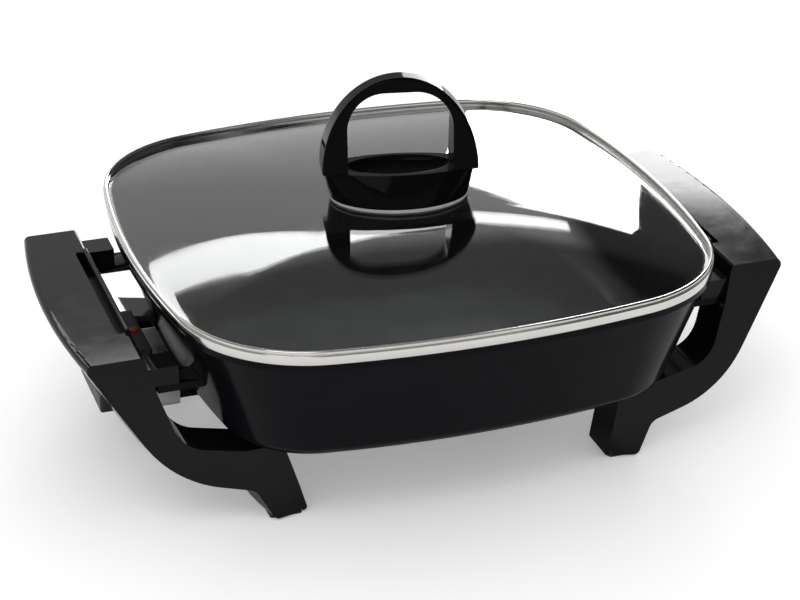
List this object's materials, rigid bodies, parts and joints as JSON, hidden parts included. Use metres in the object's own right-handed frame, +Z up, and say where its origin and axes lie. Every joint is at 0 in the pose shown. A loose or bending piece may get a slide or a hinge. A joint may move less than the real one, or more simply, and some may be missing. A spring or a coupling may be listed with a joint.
{
  "type": "electric skillet",
  "caption": "Square electric skillet: tapered non-stick pan on two black handles with feet, domed glass lid with steel band and arched knob, and a plug-in heat control.",
  "frame": {"origin": "on the table under the centre of the pan", "axes": "+Z up, +X along the line of the two handles, away from the heat control; front at -Y"},
  "size_m": [0.433, 0.33, 0.214],
  "materials": {
    "pan_coating": "gloss black outside, dark non-stick coating inside",
    "element_sheath": "dull oxidised sheath",
    "terminal_metal": "nickelled brass",
    "ceramic": "unglazed steatite",
    "plated_steel": "zinc-plated steel",
    "screw_steel": "zinc-plated steel",
    "phenolic": "gloss black phenolic moulding",
    "pad_rubber": "matt black silicone rubber",
    "lid_glass": "clear tempered glass",
    "band_steel": "polished stainless steel",
    "gasket": "grey silicone",
    "knob_phenolic": "gloss black phenolic moulding",
    "control_plastic": "satin black phenolic",
    "probe_steel": "bright stainless steel",
    "pilot_red": "clear red lens",
    "lamp_glass": "clear lamp glass",
    "gland_rubber": "black rubber",
    "dial_plastic": "black moulding with plain numbers"
  },
  "bodies": {
    "base": {"pan": "pan_coating", "heating_element": "element_sheath", "terminal_pins": "terminal_metal", "terminal_insulators": "ceramic", "probe_well": "plated_steel", "terminal_guard": "plated_steel", "guard_screws": "screw_steel", "right_handle": "phenolic", "left_handle": "phenolic", "foot_pads": "pad_rubber", "handle_screws": "screw_steel", "leg_screws": "screw_steel"},
    "lid": {"lid_glass": "lid_glass", "lid_band": "band_steel", "knob_gasket": "gasket", "knob_base": "knob_phenolic", "knob_arch": "knob_phenolic", "arch_screws": "screw_steel", "knob_washer": "gasket", "cup_washer": "plated_steel", "knob_screw": "screw_steel"},
    "heat_control": {"control_base": "control_plastic", "control_cover": "control_plastic", "control_screws": "screw_steel", "probe_rod": "probe_steel", "contact_sleeves": "terminal_metal", "sleeve_carrier": "ceramic", "thermostat_frame": "plated_steel", "leaf_contacts": "terminal_metal", "pilot_lens": "pilot_red", "pilot_lamp": "lamp_glass", "cord_gland": "gland_rubber"},
    "dial": {"control_dial": "dial_plastic", "dial_shaft": "plated_steel"}
  },
  "joints": [
    {"name": "lid_lift", "type": "slide", "parent": "base", "child": "lid", "axis": [0, 0, 1], "range_m": [0, 0.15]},
    {"name": "control_pull", "type": "slide", "parent": "base", "child": "heat_control", "axis": [-1, 0, 0], "range_m": [0, 0.09]},
    {"name": "dial_turn", "type": "hinge", "parent": "heat_control", "child": "dial", "pos_m": [-0.1795, 0, 0.063], "axis": [-0.749, 0, 0.6626], "range_deg": [0, 270]}
  ]
}
